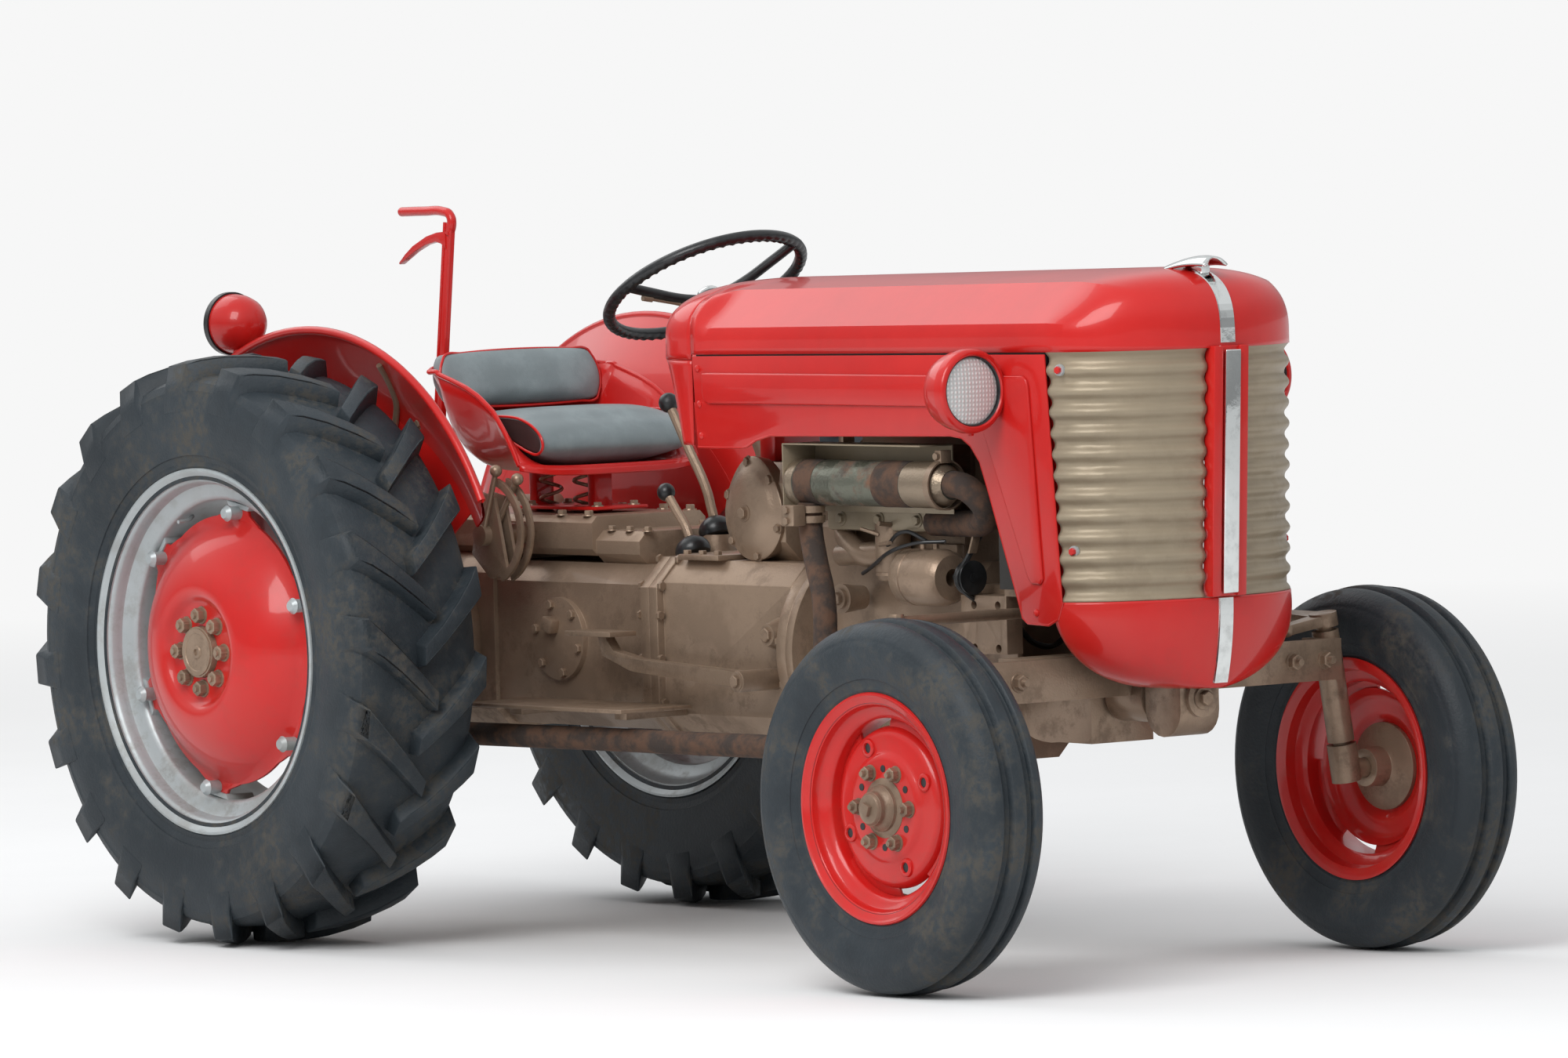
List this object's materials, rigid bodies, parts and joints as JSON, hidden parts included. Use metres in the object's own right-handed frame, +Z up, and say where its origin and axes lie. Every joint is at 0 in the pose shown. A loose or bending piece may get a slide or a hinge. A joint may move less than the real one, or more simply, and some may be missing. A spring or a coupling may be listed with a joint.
{
  "type": "farm_tractor",
  "caption": "Small farm tractor with ribbed front and lugged rear tyres, rounded hood over an open engine, padded seat, linked steering and a rear lift linkage.",
  "frame": {"origin": "floor level, middle of the overall box", "axes": "+X forward, +Y to the left, +Z up"},
  "size_m": [3.24, 1.53, 1.518],
  "materials": {
    "red_paint": "semi-gloss red enamel",
    "bronze_paint": "metallic bronze enamel",
    "beige_paint": "satin bronze-beige enamel",
    "silver_paint": "silver-grey rim paint",
    "tyre_rubber": "dirty black tyre rubber",
    "chrome": "polished chrome",
    "vinyl": "grey vinyl",
    "black_plastic": "black moulded plastic",
    "rusty_steel": "rusted exhaust steel",
    "lens_glass": "clear lamp glass",
    "dark_core": "matt black paint"
  },
  "bodies": {
    "chassis": {"transmission_case": "bronze_paint", "clutch_housing": "bronze_paint", "engine_block": "bronze_paint", "front_bolster": "bronze_paint", "axle_trumpets": "bronze_paint", "lift_cover": "bronze_paint", "control_quadrants": "bronze_paint", "hood": "red_paint", "side_panels": "red_paint", "grille_panels": "beige_paint", "grille_post": "red_paint", "chrome_trim": "chrome", "lower_nose": "red_paint", "dash_cowl": "red_paint", "radiator": "dark_core", "engine_fittings": "bronze_paint", "muffler": "rusty_steel", "manifold": "bronze_paint", "exhaust_pipe": "rusty_steel", "heat_shield": "beige_paint", "fuel_tank": "bronze_paint", "carburettor": "bronze_paint", "steering_box": "bronze_paint", "shift_levers": "black_plastic", "pedals": "bronze_paint", "foot_rests": "bronze_paint", "seat_pan": "red_paint", "seat_cushion": "vinyl", "seat_backrest": "vinyl", "fenders": "red_paint", "lamp_shells": "red_paint", "lamp_lenses": "lens_glass", "hand_lever": "red_paint", "front_axle": "bronze_paint"},
    "steering_wheel": {"steering_wheel": "black_plastic"},
    "knuckle_left": {"knuckle_left": "bronze_paint"},
    "knuckle_right": {"knuckle_right": "bronze_paint"},
    "front_wheel_left": {"front_hub_left": "bronze_paint", "front_wheel_left": "red_paint", "front_tyre_left": "tyre_rubber"},
    "front_wheel_right": {"front_hub_right": "bronze_paint", "front_wheel_right": "red_paint", "front_tyre_right": "tyre_rubber"},
    "rear_wheel_left": {"rear_hub_left": "bronze_paint", "rear_rim_left": "silver_paint", "rear_disc_left": "red_paint", "rear_tyre_left": "tyre_rubber"},
    "rear_wheel_right": {"rear_hub_right": "bronze_paint", "rear_rim_right": "silver_paint", "rear_disc_right": "red_paint", "rear_tyre_right": "tyre_rubber"},
    "center_arm": {"center_arm": "bronze_paint"},
    "tie_rod_left": {"tie_rod_left": "bronze_paint"},
    "tie_rod_right": {"tie_rod_right": "bronze_paint"},
    "drag_link": {"drag_link": "bronze_paint"},
    "pitman_arm": {"pitman_arm": "bronze_paint"},
    "lift_arms": {"lift_arms": "bronze_paint"},
    "lift_rods": {"lift_rods": "bronze_paint"},
    "lower_links": {"lower_links": "bronze_paint"}
  },
  "joints": [
    {"name": "steer_left", "type": "hinge", "parent": "chassis", "child": "knuckle_left", "pos_m": [1.255, 0.536, 0.365], "axis": [0, -0.1564, 0.9877], "range_deg": [-40, 40]},
    {"name": "steer_right", "type": "hinge", "parent": "chassis", "child": "knuckle_right", "pos_m": [1.255, -0.536, 0.365], "axis": [0, 0.1564, 0.9877], "range_deg": [-40.5, 40.5]},
    {"name": "front_spin_left", "type": "hinge", "parent": "knuckle_left", "child": "front_wheel_left", "pos_m": [1.255, 0.615, 0.365], "axis": [0, 1, 0], "continuous": true},
    {"name": "front_spin_right", "type": "hinge", "parent": "knuckle_right", "child": "front_wheel_right", "pos_m": [1.255, -0.615, 0.365], "axis": [0, 1, 0], "continuous": true},
    {"name": "rear_spin_left", "type": "hinge", "parent": "chassis", "child": "rear_wheel_left", "pos_m": [-0.854, 0.607, 0.615], "axis": [0, 1, 0], "continuous": true},
    {"name": "rear_spin_right", "type": "hinge", "parent": "chassis", "child": "rear_wheel_right", "pos_m": [-0.854, -0.607, 0.615], "axis": [0, 1, 0], "continuous": true},
    {"name": "center_arm_turn", "type": "hinge", "parent": "chassis", "child": "center_arm", "pos_m": [1.255, 0, 0.67], "axis": [0, 0, 1], "range_deg": [-40.5, 40.5]},
    {"name": "tie_left_turn", "type": "hinge", "parent": "knuckle_left", "child": "tie_rod_left", "pos_m": [1.115, 0.50393, 0.66974], "axis": [0, -0.1564, 0.9877], "range_deg": [-40.5, 40.5]},
    {"name": "tie_right_turn", "type": "hinge", "parent": "knuckle_right", "child": "tie_rod_right", "pos_m": [1.115, -0.50393, 0.66974], "axis": [0, 0.1564, 0.9877], "range_deg": [-40.5, 40.5]},
    {"name": "drag_link_turn", "type": "hinge", "parent": "knuckle_left", "child": "drag_link", "pos_m": [1.255, 0.38936, 0.65159], "axis": [0, -0.1564, 0.9877], "range_deg": [-40.5, 40.5]},
    {"name": "pitman_turn", "type": "hinge", "parent": "chassis", "child": "pitman_arm", "pos_m": [0.221, 0.19, 0.88], "axis": [0, 1, 0], "range_deg": [-21.2, 21.2]},
    {"name": "steering_wheel_turn", "type": "hinge", "parent": "chassis", "child": "steering_wheel", "pos_m": [-0.084, 0, 1.35], "axis": [-0.4848, 0, 0.8746], "range_deg": [-482, 482]},
    {"name": "lift", "type": "hinge", "parent": "chassis", "child": "lift_arms", "pos_m": [-0.914, 0, 0.862], "axis": [0, 1, 0], "range_deg": [-25, 25]},
    {"name": "lift_rod_turn", "type": "hinge", "parent": "lift_arms", "child": "lift_rods", "pos_m": [-1.164, 0, 0.862], "axis": [0, 1, 0], "range_deg": [-25.4, 25.4]},
    {"name": "link_turn", "type": "hinge", "parent": "chassis", "child": "lower_links", "pos_m": [-0.824, 0, 0.44], "axis": [0, 1, 0], "range_deg": [-16.6, 16.6]}
  ],
  "couplings": [
    {"joint": "steer_right", "follows": "steer_left", "ratio": 1},
    {"joint": "center_arm_turn", "follows": "steer_left", "ratio": 1},
    {"joint": "tie_left_turn", "follows": "steer_left", "ratio": -1},
    {"joint": "tie_right_turn", "follows": "steer_left", "ratio": -1},
    {"joint": "drag_link_turn", "follows": "steer_left", "ratio": -1},
    {"joint": "pitman_turn", "follows": "steer_left", "ratio": -0.522},
    {"joint": "steering_wheel_turn", "follows": "steer_left", "ratio": 12},
    {"joint": "lift_rod_turn", "follows": "lift", "ratio": -1},
    {"joint": "link_turn", "follows": "lift", "ratio": 0.652}
  ]
}
